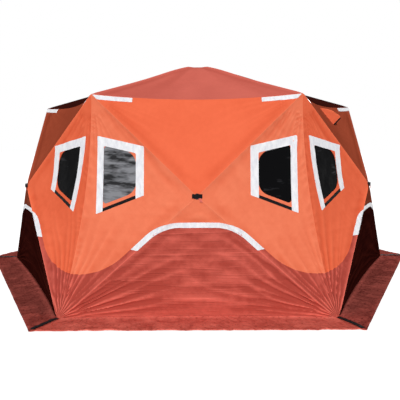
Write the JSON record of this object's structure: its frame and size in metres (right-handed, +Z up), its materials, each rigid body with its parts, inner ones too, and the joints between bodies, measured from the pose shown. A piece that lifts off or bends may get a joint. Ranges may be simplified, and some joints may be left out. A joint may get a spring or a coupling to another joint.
{
  "type": "ice fishing hut",
  "caption": "Six-sided pop-up ice fishing hut: insulated cloth over hub and pole frames, with windows, a low pointed roof, a ground skirt, corner anchor straps and a vent hood.",
  "frame": {"origin": "middle of the hut on the ground, under the roof's peak", "axes": "+Z up, -Y out through the front wall, +X to the right seen from the front"},
  "size_m": [4.8348, 4.1874, 2.152],
  "materials": {
    "orange_fabric": "matt quilted",
    "red_fabric": "matt quilted",
    "white_tape": "satin reflective",
    "black_webbing": "matt woven",
    "clear_vinyl": "gloss",
    "fibreglass": "satin",
    "hub_plastic": "satin",
    "eyelet_steel": "bright"
  },
  "bodies": {
    "root": {"front_top_panel": "orange_fabric", "front_window_panels": "orange_fabric", "front_lower_band": "red_fabric", "front_roof_panel": "red_fabric", "front_right_top_panel": "orange_fabric", "front_right_window_panels": "orange_fabric", "front_right_lower_band": "red_fabric", "front_right_roof_panel": "red_fabric", "back_right_top_panel": "orange_fabric", "back_right_window_panels": "orange_fabric", "back_right_lower_band": "red_fabric", "back_right_roof_panel": "red_fabric", "back_top_panel": "orange_fabric", "back_window_panels": "orange_fabric", "back_lower_band": "red_fabric", "back_roof_panel": "red_fabric", "back_left_top_panel": "orange_fabric", "back_left_window_panels": "orange_fabric", "back_left_lower_band": "red_fabric", "back_left_roof_panel": "red_fabric", "front_left_top_panel": "orange_fabric", "front_left_window_panels": "orange_fabric", "front_left_lower_band": "red_fabric", "front_left_roof_panel": "red_fabric", "crown_panels": "orange_fabric", "snow_skirt": "red_fabric", "window_panes": "clear_vinyl", "window_tapes": "white_tape", "window_sill_strips": "black_webbing", "bell_tapes": "white_tape", "eave_tapes": "white_tape", "wall_poles": "fibreglass", "roof_poles": "fibreglass", "wall_hubs": "hub_plastic", "hub_caps": "hub_plastic", "roof_hub": "hub_plastic", "eave_pockets": "hub_plastic", "base_pockets": "hub_plastic", "pull_straps": "black_webbing", "corner_straps": "black_webbing", "strap_eyelets": "eyelet_steel", "vent_hood": "orange_fabric", "hood_prop": "black_webbing"}
  },
  "joints": []
}
